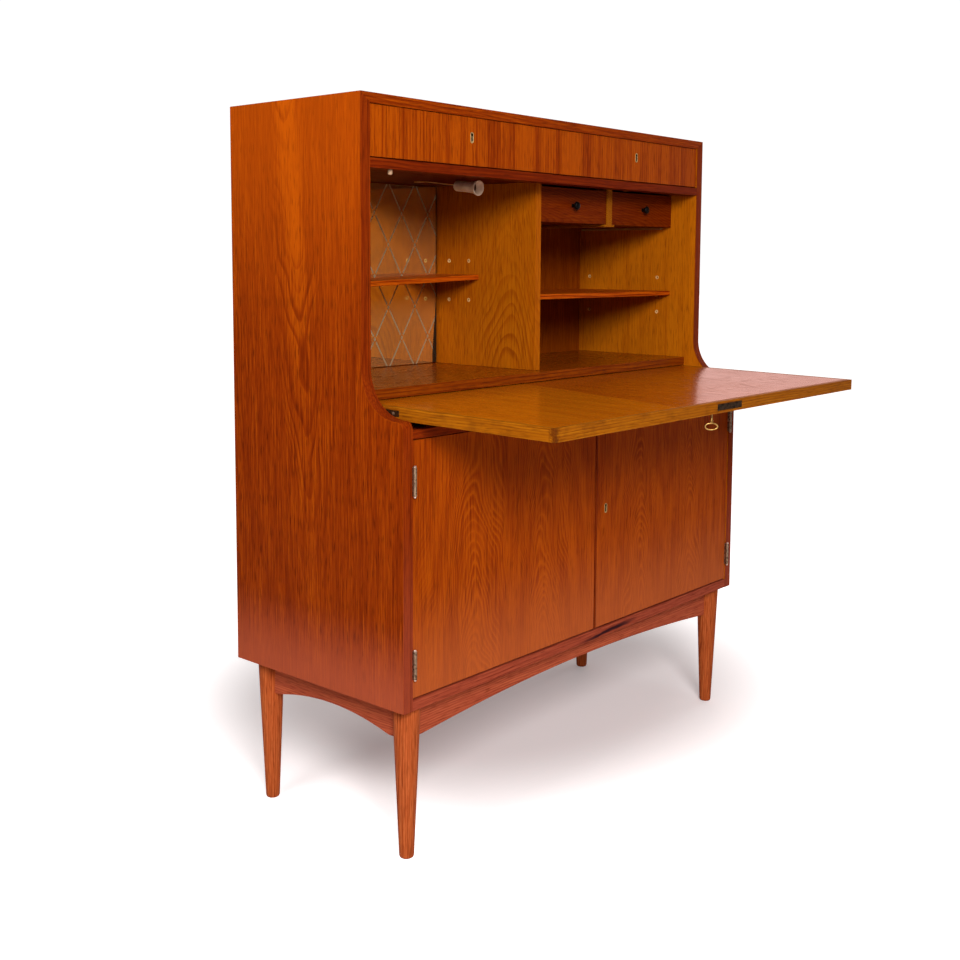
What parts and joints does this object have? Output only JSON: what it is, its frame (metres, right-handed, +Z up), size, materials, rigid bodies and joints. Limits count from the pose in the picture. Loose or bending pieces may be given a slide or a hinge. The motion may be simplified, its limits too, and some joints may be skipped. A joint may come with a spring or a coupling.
{
  "type": "secretary desk",
  "caption": "Tall teak secretary on round tapered legs: a fold-down writing lid, drawers above and inside, a mirrored compartment with a lamp, and a cupboard with a pair of doors below.",
  "frame": {"origin": "on the floor, under the middle of the desk's outline with the lid open", "axes": "+X towards the right side seen from the front, +Y towards the back, +Z up"},
  "size_m": [1.05, 0.719, 1.27],
  "materials": {
    "teak_veneer": "satin oiled veneer, red-brown, vertical grain",
    "teak_solid": "satin solid teak, darker red",
    "teak_pale": "satin golden veneer",
    "lipping": "satin pale golden edge strips",
    "birch": "matt pale plywood and softwood",
    "brass": "worn satin brass",
    "steel": "dull nickel-plated steel",
    "bronze": "dark lacquered metal",
    "porcelain": "glossy off-white",
    "ebony": "glossy black",
    "silvered_glass": "aged silvered mirror"
  },
  "bodies": {
    "carcass": {"apron_back": "teak_solid", "apron_front": "teak_solid", "apron_left": "teak_solid", "apron_right": "teak_solid", "back_panel": "birch", "bar_shelf": "teak_pale", "bottom_panel": "teak_solid", "cabinet_partition": "teak_pale", "cabinet_shelf_left": "teak_pale", "cabinet_shelf_right": "teak_pale", "cabinet_top": "teak_solid", "compartment_divider": "teak_pale", "desk_floor": "teak_pale", "drawer_cleat_left": "birch", "drawer_cleat_right": "birch", "drawer_deck": "teak_pale", "drawer_hanger": "lipping", "drawer_partition": "birch", "drawer_rail": "teak_solid", "hinge_lower_left_case_leaf": "steel", "hinge_lower_right_case_leaf": "steel", "hinge_upper_left_case_leaf": "steel", "hinge_upper_right_case_leaf": "steel", "lamp_bracket": "brass", "lamp_holder": "porcelain", "left_side": "teak_veneer", "leg_back_left": "teak_solid", "leg_back_right": "teak_solid", "leg_front_left": "teak_solid", "leg_front_right": "teak_solid", "letter_shelf": "teak_pale", "mirror": "silvered_glass", "right_side": "teak_veneer", "top_panel": "teak_veneer"},
    "lid": {"lid_panel": "teak_pale", "lid_lipping_front": "lipping", "lid_lipping_left": "lipping", "lid_lipping_right": "lipping", "lid_pivot_plate_left": "bronze", "lid_pivot_plate_right": "bronze", "lid_lock": "steel"},
    "key": {"lid_key": "brass"},
    "lid_bolt": {"lid_lock_bolt": "brass"},
    "plunger": {"switch_plunger": "porcelain"},
    "left_door": {"door_left": "teak_veneer", "hinge_lower_left_door_leaf": "steel", "hinge_upper_left_door_leaf": "steel"},
    "right_door": {"door_right": "teak_veneer", "hinge_lower_right_door_leaf": "steel", "hinge_upper_right_door_leaf": "steel", "door_lock": "brass"},
    "door_bolt": {"door_lock_bolt": "steel"},
    "top_left_drawer": {"top_drawer_front_left": "teak_veneer", "top_drawer_box_left": "birch"},
    "top_right_drawer": {"top_drawer_front_right": "teak_veneer", "top_drawer_box_right": "birch"},
    "small_left_drawer": {"small_drawer_left": "teak_veneer", "small_knob_left": "ebony"},
    "small_right_drawer": {"small_drawer_right": "teak_veneer", "small_knob_right": "ebony"}
  },
  "joints": [
    {"name": "lid_hinge", "type": "hinge", "parent": "carcass", "child": "lid", "pos_m": [0, 0.03405, 0.754], "axis": [1, 0, 0], "range_deg": [-90.7, 0]},
    {"name": "key_turn", "type": "hinge", "parent": "lid", "child": "key", "pos_m": [0, -0.3229, 0.70664], "axis": [0, -0.0122, 0.9999], "range_deg": [0, 90]},
    {"name": "lid_bolt_slide", "type": "slide", "parent": "lid", "child": "lid_bolt", "axis": [0, -0.9999, -0.0122], "range_m": [0, 0.009]},
    {"name": "plunger_slide", "type": "slide", "parent": "carcass", "child": "plunger", "axis": [0, 0, 1], "range_m": [0, 0.008]},
    {"name": "left_door_hinge", "type": "hinge", "parent": "carcass", "child": "left_door", "pos_m": [-0.50315, -0.07725, 0.5], "axis": [0, 0, -1], "range_deg": [0, 110]},
    {"name": "right_door_hinge", "type": "hinge", "parent": "carcass", "child": "right_door", "pos_m": [0.50315, -0.07725, 0.5], "axis": [0, 0, 1], "range_deg": [0, 110]},
    {"name": "door_bolt_slide", "type": "slide", "parent": "right_door", "child": "door_bolt", "axis": [-1, 0, 0], "range_m": [0, 0.008]},
    {"name": "top_left_drawer_slide", "type": "slide", "parent": "carcass", "child": "top_left_drawer", "axis": [0, -1, 0], "range_m": [0, 0.3]},
    {"name": "top_right_drawer_slide", "type": "slide", "parent": "carcass", "child": "top_right_drawer", "axis": [0, -1, 0], "range_m": [0, 0.3]},
    {"name": "small_left_drawer_slide", "type": "slide", "parent": "carcass", "child": "small_left_drawer", "axis": [0, -1, 0], "range_m": [0, 0.18]},
    {"name": "small_right_drawer_slide", "type": "slide", "parent": "carcass", "child": "small_right_drawer", "axis": [0, -1, 0], "range_m": [0, 0.18]}
  ],
  "couplings": [
    {"joint": "key_turn", "follows": "lid_bolt_slide", "rad_per_m": 174.4},
    {"joint": "plunger_slide", "follows": "lid_hinge", "m_per_rad": -0.00505}
  ]
}
